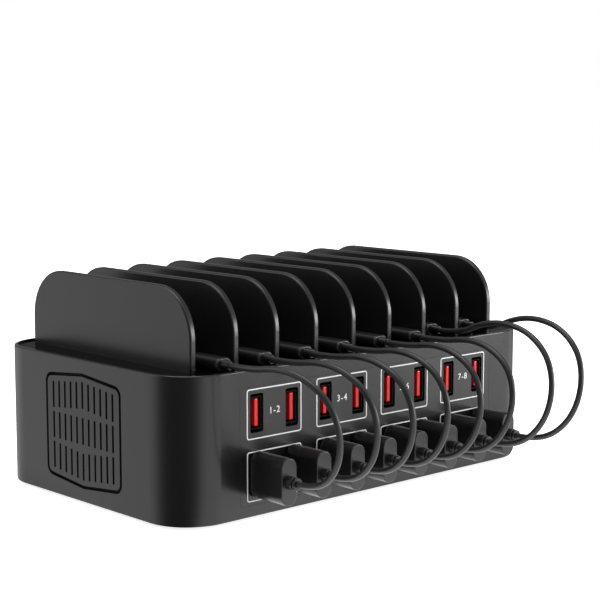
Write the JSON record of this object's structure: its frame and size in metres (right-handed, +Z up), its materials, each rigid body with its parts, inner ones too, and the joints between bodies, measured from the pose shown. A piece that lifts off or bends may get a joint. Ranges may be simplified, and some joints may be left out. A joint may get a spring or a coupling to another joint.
{
  "type": "charging station organizer",
  "caption": "Desk charging station: a rounded box with rows of front charging ports, end vent grilles, a deck of upright lift-out dividers for phones and tablets, and short leads.",
  "frame": {"origin": "midway between the feet, on the surface that they stand on", "axes": "+Z up, X along the box, ports facing -Y, mains inlet at +Y"},
  "size_m": [0.21, 0.187, 0.0942],
  "materials": {
    "shell_plastic": "satin moulded plastic",
    "deck_gloss": "polished black plastic",
    "divider_plastic": "satin moulded plastic",
    "panel_plastic": "satin moulded plastic",
    "grille_plastic": "satin moulded plastic",
    "foot_rubber": "soft rubber",
    "screw_steel": "zinc plated",
    "socket_metal": "black plated",
    "tongue_red": "moulded red plastic",
    "board_laminate": "circuit board",
    "ferrite": "ferrite and winding",
    "capacitor_sleeve": "shrink sleeve",
    "sink_aluminium": "plain",
    "inlet_plastic": "moulded plastic",
    "pin_brass": "plain",
    "switch_plastic": "moulded plastic",
    "rocker_plastic": "polished plastic",
    "wire_insulation": "flexible insulation",
    "plug_plastic": "soft satin plastic",
    "cable_sheath": "soft sheath",
    "connector_plastic": "satin plastic",
    "plated_metal": "nickel plated"
  },
  "bodies": {
    "housing": {"outer_shell": "shell_plastic", "base_plate": "shell_plastic", "tray_deck": "deck_gloss", "port_panel": "panel_plastic", "vent_grille_left": "grille_plastic", "vent_grille_right": "grille_plastic", "rubber_feet": "foot_rubber", "housing_screws": "screw_steel", "board_screws": "screw_steel", "lower_socket_shells": "socket_metal", "upper_socket_shells": "socket_metal", "lower_socket_tongues": "tongue_red", "upper_socket_tongues": "tongue_red", "port_board": "board_laminate", "main_board": "board_laminate", "transformer": "ferrite", "line_choke": "ferrite", "bulk_capacitors": "capacitor_sleeve", "heat_sinks": "sink_aluminium", "mains_inlet": "inlet_plastic", "inlet_pins": "pin_brass", "switch_frame": "switch_plastic", "mains_leads": "wire_insulation", "output_leads": "wire_insulation", "plug_shells": "plated_metal", "connector_tips": "plated_metal", "plug_1": "plug_plastic", "lead_1": "cable_sheath", "connector_1": "connector_plastic", "plug_2": "plug_plastic", "lead_2": "cable_sheath", "connector_2": "connector_plastic", "plug_3": "plug_plastic", "lead_3": "cable_sheath", "connector_3": "connector_plastic", "plug_4": "plug_plastic", "lead_4": "cable_sheath", "connector_4": "connector_plastic", "plug_5": "plug_plastic", "lead_5": "cable_sheath", "connector_5": "connector_plastic", "plug_6": "plug_plastic", "lead_6": "cable_sheath", "connector_6": "connector_plastic", "plug_7": "plug_plastic", "lead_7": "cable_sheath", "connector_7": "connector_plastic", "plug_8": "plug_plastic", "lead_8": "cable_sheath", "connector_8": "connector_plastic"},
    "divider_1": {"divider_1": "divider_plastic"},
    "divider_2": {"divider_2": "divider_plastic"},
    "divider_3": {"divider_3": "divider_plastic"},
    "divider_4": {"divider_4": "divider_plastic"},
    "divider_5": {"divider_5": "divider_plastic"},
    "divider_6": {"divider_6": "divider_plastic"},
    "divider_7": {"divider_7": "divider_plastic"},
    "divider_8": {"divider_8": "divider_plastic"},
    "divider_9": {"divider_9": "divider_plastic"},
    "switch_rocker": {"switch_rocker": "rocker_plastic"}
  },
  "joints": [
    {"name": "divider_1_lift", "type": "slide", "parent": "housing", "child": "divider_1", "axis": [0, 0, 1], "range_m": [0, 0.045]},
    {"name": "divider_2_lift", "type": "slide", "parent": "housing", "child": "divider_2", "axis": [0, 0, 1], "range_m": [0, 0.045]},
    {"name": "divider_3_lift", "type": "slide", "parent": "housing", "child": "divider_3", "axis": [0, 0, 1], "range_m": [0, 0.045]},
    {"name": "divider_4_lift", "type": "slide", "parent": "housing", "child": "divider_4", "axis": [0, 0, 1], "range_m": [0, 0.045]},
    {"name": "divider_5_lift", "type": "slide", "parent": "housing", "child": "divider_5", "axis": [0, 0, 1], "range_m": [0, 0.045]},
    {"name": "divider_6_lift", "type": "slide", "parent": "housing", "child": "divider_6", "axis": [0, 0, 1], "range_m": [0, 0.045]},
    {"name": "divider_7_lift", "type": "slide", "parent": "housing", "child": "divider_7", "axis": [0, 0, 1], "range_m": [0, 0.045]},
    {"name": "divider_8_lift", "type": "slide", "parent": "housing", "child": "divider_8", "axis": [0, 0, 1], "range_m": [0, 0.045]},
    {"name": "divider_9_lift", "type": "slide", "parent": "housing", "child": "divider_9", "axis": [0, 0, 1], "range_m": [0, 0.045]},
    {"name": "switch_rocker_tilt", "type": "hinge", "parent": "housing", "child": "switch_rocker", "pos_m": [0.0675, 0.0582, 0.0235], "axis": [0, 0, 1], "range_deg": [0, 20]}
  ]
}
